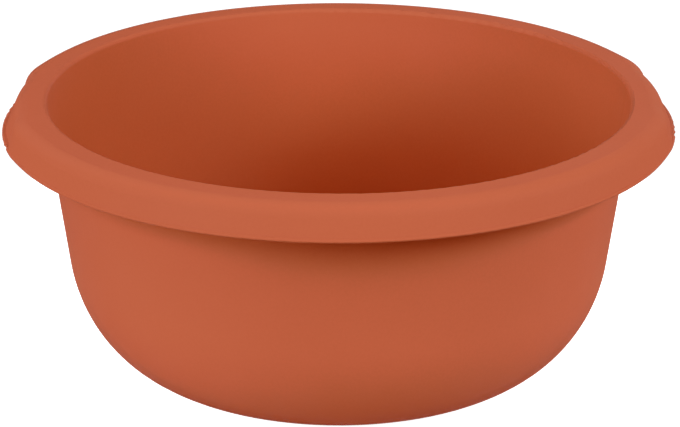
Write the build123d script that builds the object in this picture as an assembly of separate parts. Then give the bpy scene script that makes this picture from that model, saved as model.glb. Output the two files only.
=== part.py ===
from build123d import *
import os
from math import acos, cos, degrees, radians, sin, tan

# Round washing up bowl, one moulding of thin polypropylene.
# Millimetres and degrees, base on z = 0, a grip on each side along X.

# Whole bowl
overall_height = 157.5      # underside to the flat crown of the rim
mouth_radius = 165.4        # inside of the opening at the crown
wall = 2.2                  # thickness of wall, floor and rim
wall_draft = 7.2            # the wall opens upwards by this angle
mouth_rounding = 2.4        # rounded edge between the inside and the rim

# Rounded lower part, floor and foot
base_radius = 101.5         # outside of the ring that the bowl stands on
turn_height = 62.0          # the straight wall begins this far up
foot_width = 9.0            # flat width of the standing ring
floor_rise = 2.0            # the middle of the floor is raised by this much

# Rim that turns over and down
rim_radius = 190.0          # outside of the bead along the rim's lower edge
rim_depth = 18.3            # crown to lower edge
shoulder_radius = 8.5       # outside bend from crown to skirt
skirt_lean = 16.5           # the skirt leans out from upright
bead_radius = 1.15          # round bead along the skirt's lower edge
bead_stand = 0.35           # how far the bead stands out from the skirt

# Grips: the rim swells a little, then the skirt is pressed in for the hand
grip_swell = 0.7            # how far the rim swells beside the hollow
swell_angle = 17.0          # middle of the swell, from the grip's middle
swell_round = 42.0          # plan radius of the swell
press_depth = 2.6           # how far the skirt is pressed in under the shoulder
press_lean = 24.0           # there it leans out more, so its foot is pressed in least
press_round = 22.0          # plan radius at the hollow's ends
easing_round = 300.0        # plan radius between swell and plain rim

# Finger ledge: at a grip the rim's lower edge stays out while the skirt goes in
ledge_width = 7.0           # from the edge's bead into the skirt
ledge_slope = 8.0           # its top falls outwards by this angle

# Shape shares and allowances
ellipse_share = 0.5523      # handle of a curve that follows a quarter ellipse
seam_overlap = 0.3          # how far joined stretches of the rim reach into each other
pressed_share = 0.7         # how far into the swell the pressed skirt is carried

crown = overall_height
draft = tan(radians(wall_draft))
wall_across = wall / cos(radians(wall_draft))


def turned(centre, distance, angle):
    """Point at a distance and an angle from a centre, seen from above."""
    return centre + Vector(distance * cos(radians(angle)), distance * sin(radians(angle)), 0)


def corner_angle(side, other_side, opposite):
    """Angle of a triangle between two sides, from its three sides."""
    share = (side ** 2 + other_side ** 2 - opposite ** 2) / (2 * side * other_side)
    return degrees(acos(share))


def heading(start, end):
    """Direction from one plan point to another, in degrees."""
    span = end - start
    angle = degrees(acos(span.X / span.length))
    return angle if span.Y >= 0 else -angle


def inner_wall(height):
    """Radius of the inside face of the straight wall at a height."""
    return mouth_radius - (crown - height) * draft


def wall_curve(start_height, wall_offset):
    """Curve from the floor into the straight wall."""
    corner = Vector(inner_wall(start_height) + wall_offset, start_height)
    start = Vector(base_radius, start_height)
    end = Vector(inner_wall(turn_height) + wall_offset, turn_height)
    start_handle = start + (corner - start) * ellipse_share
    end_handle = end + (corner - end) * ellipse_share
    return Bezier(start, start_handle, end_handle, end)


# The rim in section is drawn from the line where the shoulder's bend begins, called the
# shoulder line: across is measured outwards from it, and up from the crown.

def shoulder_point(radius, angle):
    """Point of the shoulder's bend, on a radius of its own."""
    return Vector(radius * sin(radians(angle)), radius * cos(radians(angle)) - shoulder_radius)


def down_skirt(lean):
    """Direction down a skirt that leans out by an angle."""
    return Vector(sin(radians(lean)), -cos(radians(lean)))


def out_of_skirt(lean):
    """Direction straight out of a skirt that leans out by an angle."""
    return Vector(cos(radians(lean)), sin(radians(lean)))


def skirt_foot(lean):
    """Outer lower corner of the skirt, level with the bead."""
    top = shoulder_point(shoulder_radius, 90 - lean)
    drop = top.Y - bead_inset * out_of_skirt(lean).Y - bead_height
    return top + down_skirt(lean) * (drop / cos(radians(lean)))


bead_inset = bead_radius - bead_stand
bead_height = bead_radius - rim_depth
bead_middle = skirt_foot(skirt_lean) - out_of_skirt(skirt_lean) * bead_inset
shoulder_line = rim_radius - bead_middle.X - bead_radius

# Plan of a grip: circles that touch each other, from the grip's middle outwards
bowl_middle = Vector(0, 0, 0)
pressed_line = shoulder_line - press_depth
swell_offset = shoulder_line + grip_swell - swell_round
press_offset = pressed_line + press_round
press_angle = swell_angle - corner_angle(swell_offset, press_offset, press_round + swell_round)
easing_offset = easing_round - shoulder_line
easing_turn = corner_angle(swell_offset, easing_offset, easing_round - swell_round)
plain_angle = swell_angle + 180 - easing_turn
swell_middle = turned(bowl_middle, swell_offset, swell_angle)
press_middle = turned(bowl_middle, press_offset, press_angle)
easing_middle = turned(bowl_middle, -easing_offset, plain_angle)
easing_start = heading(easing_middle, swell_middle)

# Each stretch: middle, radius, first and last direction, and 1 where the rim bulges
# outwards from that middle or -1 where the middle lies outside the bowl
pressed_end = press_angle + (swell_angle - press_angle) * pressed_share
pressed_stretches = [(bowl_middle, pressed_line, 0, pressed_end, 1)]
turning_stretches = [
    (press_middle, press_round, heading(press_middle, swell_middle), press_angle - 180, -1),
    (swell_middle, swell_round, heading(swell_middle, press_middle), swell_angle, 1),
]
plain_stretches = [
    (swell_middle, swell_round, swell_angle, easing_start, 1),
    (easing_middle, easing_round, easing_start, plain_angle, 1),
    (bowl_middle, shoulder_line, plain_angle, 90, 1),
]
ledge_stretches = [(bowl_middle, shoulder_line + grip_swell, 0, swell_angle, 1)]

crown_overlap = grip_swell + press_depth + 2 * seam_overlap
crown_plate_radius = pressed_line - seam_overlap


def swept(section, stretches):
    """Carry a section of the rim along stretches of its plan."""
    solids = []
    for middle, radius, first, last, bulge in stretches:
        start = turned(middle, radius, first)
        outwards = turned(bowl_middle, bulge, first)
        level = start + Vector(0, 0, crown)
        plane = Plane(origin=level, x_dir=outwards, z_dir=outwards.cross(Vector(0, 0, 1)))
        solids.append(revolve(plane * section, Axis(middle, (0, 0, 1)), (last - first) % 360))
    return Part() + solids


def skirt_section():
    """Crown overlap, shoulder and leaning skirt."""
    return filled_section(skirt_lean) - space_section(skirt_lean, wall)


def filled_section(lean):
    """The rim's outside, with the space behind it filled."""
    top = shoulder_point(shoulder_radius, 90 - lean)
    foot = skirt_foot(lean)
    inner_foot = foot - out_of_skirt(lean) * wall
    outline = [
        Line((-crown_overlap, 0), (0, 0)),
        RadiusArc((0, 0), top, shoulder_radius),
        Polyline(top, foot, inner_foot, (-crown_overlap, inner_foot.Y), (-crown_overlap, 0)),
    ]
    return make_face(outline)


def space_section(lean, depth):
    """The space behind the rim, from a depth under its outside."""
    radius = shoulder_radius - depth
    top = shoulder_point(radius, 90 - lean)
    foot = skirt_foot(lean) - out_of_skirt(lean) * depth + down_skirt(lean) * ledge_width
    inside = -2 * crown_overlap
    outline = [
        Line((inside, -depth), (0, -depth)),
        RadiusArc((0, -depth), top, radius),
        Polyline(top, foot, (inside, foot.Y), (inside, -depth)),
    ]
    return make_face(outline)


def bead_section():
    """Round bead along the rim's lower edge."""
    return Pos(bead_middle) * Circle(bead_radius)


def ledge_section():
    """The bead, and a strip that rises from it into the skirt."""
    slope = radians(ledge_slope)
    root = bead_middle + Vector(-cos(slope), sin(slope)) * ledge_width
    upwards = Vector(sin(slope), cos(slope)) * (wall / 2)
    strip = Polyline(bead_middle + upwards, root + upwards, root - upwards, bead_middle - upwards, close=True)
    return make_face(strip) + bead_section()


def body_section():
    """Floor, wall and the crown of the rim, from the axis outwards."""
    foot_inside = base_radius - foot_width
    outside = wall_curve(0, wall_across)
    inside = wall_curve(wall, 0)
    under_crown = crown - wall
    raised_edge = foot_inside - floor_rise
    raised_floor = floor_rise + wall
    throat = Vector(inner_wall(under_crown) + wall_across, under_crown)
    mouth = Vector(inner_wall(crown), crown)
    outline = [
        Polyline((0, floor_rise), (raised_edge, floor_rise), (foot_inside, 0), (base_radius, 0)),
        outside,
        Polyline(outside @ 1, throat, (crown_plate_radius, under_crown), (crown_plate_radius, crown),
                 mouth, inside @ 1),
        inside,
        Polyline(inside @ 0, (foot_inside, wall), (raised_edge, raised_floor), (0, raised_floor),
                 (0, floor_rise)),
    ]
    face = make_face(outline)
    face = fillet(face.vertices().sort_by_distance(mouth)[0], mouth_rounding)
    return fillet(face.vertices().sort_by_distance(throat)[0], wall / 2)


os.makedirs("parts", exist_ok=True)

body = revolve(Plane.XZ * body_section(), Axis.Z)
grip = swept(filled_section(press_lean), pressed_stretches)
grip += swept(filled_section(skirt_lean), turning_stretches)
ledge = swept(ledge_section(), ledge_stretches)
for lean, stretches in [(press_lean, pressed_stretches), (skirt_lean, turning_stretches)]:
    grip -= swept(space_section(lean, wall), stretches)
    ledge -= swept(space_section(lean, wall / 2), stretches)
quarter = grip + ledge
quarter += swept(skirt_section() + bead_section(), plain_stretches)
half = quarter + quarter.mirror(Plane.XZ)
bowl = body + half + half.mirror(Plane.YZ)
bowl.label = "bowl"
print("bowl", len(bowl.solids()), "solid", round(bowl.volume / 1000), "cm3", bowl.is_valid)
print("grip angles", round(press_angle, 1), round(plain_angle, 1), "shoulder line", round(shoulder_line, 1))
export_step(bowl, "parts/bowl.step")
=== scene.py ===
import math

import bpy
from mathutils import Matrix, Vector


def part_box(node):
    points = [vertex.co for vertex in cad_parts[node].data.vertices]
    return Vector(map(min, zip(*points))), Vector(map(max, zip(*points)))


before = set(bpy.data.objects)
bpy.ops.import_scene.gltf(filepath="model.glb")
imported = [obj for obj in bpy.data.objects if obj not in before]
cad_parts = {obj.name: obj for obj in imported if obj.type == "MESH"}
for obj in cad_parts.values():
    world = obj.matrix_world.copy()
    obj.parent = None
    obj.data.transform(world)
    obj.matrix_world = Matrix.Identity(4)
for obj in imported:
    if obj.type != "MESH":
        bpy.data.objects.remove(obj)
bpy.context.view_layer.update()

bowlLow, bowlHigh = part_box("bowl")
print("frame loaded, bowl is", [round(v, 4) for v in bowlHigh - bowlLow], "m")


# Camera

cameraSetup = {
    "distance": 1.320,    # lens to the middle of the mouth
    "elevation": 18.07,   # above the rim
    "turn": -2.3,         # round to the left of the bowl's front
    "pitch": 21.12,       # aimed down
    "pan": 0.036,         # aimed a little right of the bowl's middle
    "roll": 0.086,        # tipped clockwise
    "lens": 122.66,
    "sensor": 36.0,
}
levelAngle = 90           # a camera turned this far from straight down looks level


def aroundBowl(azimuth, elevation, distance, height):
    # a place seen from the bowl, with azimuth 0 in front of it and -X at -90
    side = math.radians(azimuth)
    lift = math.radians(elevation)
    ground = distance * math.cos(lift)
    return Vector((ground * math.sin(side), -ground * math.cos(side), height + distance * math.sin(lift)))


def makeCamera(setup):
    data = bpy.data.cameras.new("camera")
    data.lens = setup["lens"]
    data.sensor_width = setup["sensor"]
    camera = bpy.data.objects.new("camera", data)
    bpy.context.scene.collection.objects.link(camera)
    place = aroundBowl(setup["turn"], setup["elevation"], setup["distance"], bowlHigh.z)
    heading = math.radians(setup["turn"] - setup["pan"])  # about Z, from +Y
    lift = math.radians(levelAngle - setup["pitch"])
    tip = math.radians(setup["roll"])
    camera.matrix_world = (
        Matrix.Translation(place)
        @ Matrix.Rotation(heading, 4, "Z")
        @ Matrix.Rotation(lift, 4, "X")
        @ Matrix.Rotation(tip, 4, "Z")
    )
    bpy.context.scene.camera = camera


makeCamera(cameraSetup)
print("camera in place")


# Node helpers

noiseSpan = (0.3, 0.7)    # what a noise texture mostly gives


def noiseNode(tree, coordinates, setup):
    noise = tree.nodes.new("ShaderNodeTexNoise")
    noise.inputs["Scale"].default_value = setup["scale"]
    noise.inputs["Detail"].default_value = setup["detail"]
    tree.links.new(coordinates, noise.inputs["Vector"])
    return noise.outputs["Fac"]


def rangeNode(tree, value, source, target):
    mapped = tree.nodes.new("ShaderNodeMapRange")
    mapped.inputs["From Min"].default_value, mapped.inputs["From Max"].default_value = source
    mapped.inputs["To Min"].default_value, mapped.inputs["To Max"].default_value = target
    tree.links.new(value, mapped.inputs["Value"])
    return mapped.outputs["Result"]


def spreadNode(tree, value, spread):
    # noise as a share that keeps its mean at 1
    return rangeNode(tree, value, noiseSpan, (1 - spread, 1 + spread))


def mathNode(tree, operation, first, second):
    node = tree.nodes.new("ShaderNodeMath")
    node.operation = operation
    for socket, value in zip(node.inputs, (first, second)):
        if isinstance(value, float):
            socket.default_value = value
        else:
            tree.links.new(value, socket)
    return node.outputs["Value"]


def bumpNode(tree, height, depth, normal=None):
    bump = tree.nodes.new("ShaderNodeBump")
    bump.inputs["Distance"].default_value = depth
    tree.links.new(height, bump.inputs["Height"])
    if normal:
        tree.links.new(normal, bump.inputs["Normal"])
    return bump.outputs["Normal"]


# Floor: a pale board under the bowl on a darker studio floor, and white all over for the camera

floorSetup = {
    "size": 12.0,
    "clearance": 0.0002,  # keeps the floor just under the standing ring
    "boardRadius": 0.35,
    "boardEdge": 0.01,    # width of the blend at the board's edge
    "boardShade": 0.68,
    "outerShade": 0.10,
    "roughness": 0.9,
    "specular": 0.0,
    "glowColour": (1, 1, 1, 1),
    "boardGlow": 0.94,    # lifts the floor to white for the camera alone
    "outerGlow": 1.0,
}


def makeFloor(setup):
    bpy.ops.mesh.primitive_plane_add(size=setup["size"], location=(0, 0, -setup["clearance"]))
    floor = bpy.context.object
    floor.name = "floor"
    paint = bpy.data.materials.new("paleFloor")
    paint.use_nodes = True
    tree = paint.node_tree
    shader = tree.nodes["Principled BSDF"]
    shader.inputs["Roughness"].default_value = setup["roughness"]
    shader.inputs["Specular IOR Level"].default_value = setup["specular"]
    shader.inputs["Emission Color"].default_value = setup["glowColour"]
    place = tree.nodes.new("ShaderNodeTexCoord")
    radius = tree.nodes.new("ShaderNodeVectorMath")
    radius.operation = "LENGTH"
    tree.links.new(place.outputs["Object"], radius.inputs[0])
    edge = (setup["boardRadius"], setup["boardRadius"] + setup["boardEdge"])
    shade = rangeNode(tree, radius.outputs["Value"], edge, (setup["boardShade"], setup["outerShade"]))
    tree.links.new(shade, shader.inputs["Base Color"])
    path = tree.nodes.new("ShaderNodeLightPath")
    glow = rangeNode(tree, radius.outputs["Value"], edge, (setup["boardGlow"], setup["outerGlow"]))
    seen = mathNode(tree, "MULTIPLY", glow, path.outputs["Is Camera Ray"])
    tree.links.new(seen, shader.inputs["Emission Strength"])
    floor.data.materials.append(paint)


makeFloor(floorSetup)
print("floor laid")


# Studio light: soft boxes all round, and a white surround that only the camera sees

boxSetup = {
    "leftBank": {"azimuth": -51, "elevation": 21, "size": (1.15, 1.2), "power": 38.6},
    "rightBank": {"azimuth": 58, "elevation": 28, "size": (1.4, 0.7), "power": 34.8},
    "rightLow": {"azimuth": 85, "elevation": 10, "size": (0.9, 0.7), "power": 3.9},
    "backRight": {"azimuth": 151, "elevation": 11, "size": (1.1, 0.7), "power": 4.7},
    "backLeft": {"azimuth": -137, "elevation": 33, "size": (0.8, 1.3), "power": 9.0},
    "high": {"azimuth": 180, "elevation": 68, "size": (0.8, 0.8), "power": 10.4},
    "frontFill": {"azimuth": 0, "elevation": 24, "size": (1.4, 0.9), "power": 2.0},
}
boxDistance = 2.0
aimHeight = 0.1

worldSetup = {
    "colour": (1, 1, 1, 1),
    "seen": 0.99,         # strength for the camera
    "lit": 0.0,           # strength for everything else
}


def softBox(name, setup):
    data = bpy.data.lights.new(name, "AREA")
    data.shape = "RECTANGLE"
    data.size, data.size_y = setup["size"]
    data.energy = setup["power"]
    lamp = bpy.data.objects.new(name, data)
    bpy.context.scene.collection.objects.link(lamp)
    lamp.location = aroundBowl(setup["azimuth"], setup["elevation"], boxDistance, aimHeight)
    aim = Vector((0, 0, aimHeight)) - lamp.location
    lamp.rotation_euler = aim.to_track_quat("-Z", "Y").to_euler()
    lamp.visible_camera = False


def makeWorld(setup):
    world = bpy.data.worlds.new("studio")
    bpy.context.scene.world = world
    world.use_nodes = True
    tree = world.node_tree
    background = tree.nodes["Background"]
    background.inputs["Color"].default_value = setup["colour"]
    path = tree.nodes.new("ShaderNodeLightPath")
    strength = tree.nodes.new("ShaderNodeMapRange")
    strength.inputs["To Min"].default_value = setup["lit"]
    strength.inputs["To Max"].default_value = setup["seen"]
    tree.links.new(path.outputs["Is Camera Ray"], strength.inputs["Value"])
    tree.links.new(strength.outputs["Result"], background.inputs["Strength"])


for boxName, setup in boxSetup.items():
    softBox(boxName, setup)
makeWorld(worldSetup)
print("stage lit by", len(boxSetup), "soft boxes")


# Colour, as the photo was graded: reds stay full in the shadows and the other colours drop away

# pairs of a light level in the scene and the level shown for it
gradeSetup = {
    "red": [(0.10, 0.105), (0.23, 0.2355), (0.42, 0.409), (0.50, 0.508), (0.55, 0.541), (0.60, 0.57)],
    "green": [
        (0.015, 0.005), (0.03, 0.0145), (0.05, 0.034), (0.06, 0.0462),
        (0.11, 0.112), (0.13, 0.1325), (0.16, 0.148),
    ],
    "blue": [(0.015, 0.003), (0.03, 0.018), (0.05, 0.0525), (0.06, 0.064), (0.08, 0.075)],
}


def gradeColours(setup):
    view = bpy.context.scene.view_settings
    view.view_transform = "Standard"
    view.use_curve_mapping = True
    curves = view.curve_mapping.curves
    for curve, channel in zip(curves, ("red", "green", "blue")):
        for level, shown in setup[channel]:
            curve.points.new(level, shown)
    view.curve_mapping.update()


gradeColours(gradeSetup)
print("colours graded")


# Plastic: satin moulded polypropylene

plasticSetup = {
    "colour": (0.457, 0.098, 0.041),
    "specular": 0.075,
    "cloud": {"scale": 9.0, "detail": 4.0, "spread": 0.022},     # pigment, lighter and darker by this share
    "speck": {"scale": 650.0, "detail": 2.0, "spread": 0.018},   # the same in fine grains
    "satin": {"scale": 24.0, "detail": 3.0, "low": 0.64, "high": 0.74},
    "ripple": {"scale": 30.0, "detail": 1.0, "depth": 0.00010},  # slow waves of a thin moulded wall
    "grain": {"scale": 1500.0, "detail": 2.0, "depth": 0.000012},
    "scuff": {
        "scale": 900.0,
        "detail": 2.0,
        "stretch": 0.08,      # the noise is drawn out along Y by this scale
        "cut": (0.5, 0.62),   # noise where a mark begins, and where it is full
        "height": 0.0009,     # the marks fade out this far above the worktop
        "colour": (0.56, 0.19, 0.11),
        "roughness": 0.8,
    },
}


def makePlastic(setup):
    plastic = bpy.data.materials.new("terracottaPlastic")
    plastic.use_nodes = True
    tree = plastic.node_tree
    shader = tree.nodes["Principled BSDF"]
    shader.inputs["Specular IOR Level"].default_value = setup["specular"]
    place = tree.nodes.new("ShaderNodeTexCoord").outputs["Object"]

    # colour: the pigment times clouds and specks that keep to its mean
    cloud = noiseNode(tree, place, setup["cloud"])
    speck = noiseNode(tree, place, setup["speck"])
    cloudShare = spreadNode(tree, cloud, setup["cloud"]["spread"])
    speckShare = spreadNode(tree, speck, setup["speck"]["spread"])
    share = mathNode(tree, "MULTIPLY", cloudShare, speckShare)
    pigment = tree.nodes.new("ShaderNodeVectorMath")
    pigment.operation = "SCALE"
    pigment.inputs[0].default_value = setup["colour"]
    tree.links.new(share, pigment.inputs["Scale"])

    # fine scuffs where the standing ring slides on a worktop
    scuff = setup["scuff"]
    stretched = tree.nodes.new("ShaderNodeMapping")
    stretched.inputs["Scale"].default_value = (1, scuff["stretch"], 1)
    tree.links.new(place, stretched.inputs["Vector"])
    scratches = noiseNode(tree, stretched.outputs["Vector"], scuff)
    marks = rangeNode(tree, scratches, scuff["cut"], (0.0, 1.0))
    across = tree.nodes.new("ShaderNodeSeparateXYZ")
    tree.links.new(place, across.inputs["Vector"])
    low = rangeNode(tree, across.outputs["Z"], (0.0, scuff["height"]), (1.0, 0.0))
    worn = mathNode(tree, "MULTIPLY", marks, low)
    colour = tree.nodes.new("ShaderNodeMix")
    colour.data_type = "RGBA"
    colourA, colourB = [socket for socket in colour.inputs if socket.type == "RGBA"]
    colourB.default_value = scuff["colour"] + (1,)
    tree.links.new(worn, colour.inputs["Factor"])
    tree.links.new(pigment.outputs["Vector"], colourA)
    colourOut = [socket for socket in colour.outputs if socket.type == "RGBA"][0]
    tree.links.new(colourOut, shader.inputs["Base Color"])

    # satin finish, a little uneven
    satinNoise = noiseNode(tree, place, setup["satin"])
    satin = rangeNode(tree, satinNoise, noiseSpan, (setup["satin"]["low"], setup["satin"]["high"]))
    rough = mathNode(tree, "MAXIMUM", satin, mathNode(tree, "MULTIPLY", worn, scuff["roughness"]))
    tree.links.new(rough, shader.inputs["Roughness"])

    ripple = bumpNode(tree, noiseNode(tree, place, setup["ripple"]), setup["ripple"]["depth"])
    grain = bumpNode(tree, noiseNode(tree, place, setup["grain"]), setup["grain"]["depth"], ripple)
    tree.links.new(grain, shader.inputs["Normal"])
    return plastic


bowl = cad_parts["bowl"]
plastic = makePlastic(plasticSetup)
for materialSlot in bowl.material_slots:
    materialSlot.material = plastic
print("bowl finished", len(bowl.data.polygons), "triangles", len(bowl.material_slots), "slots")
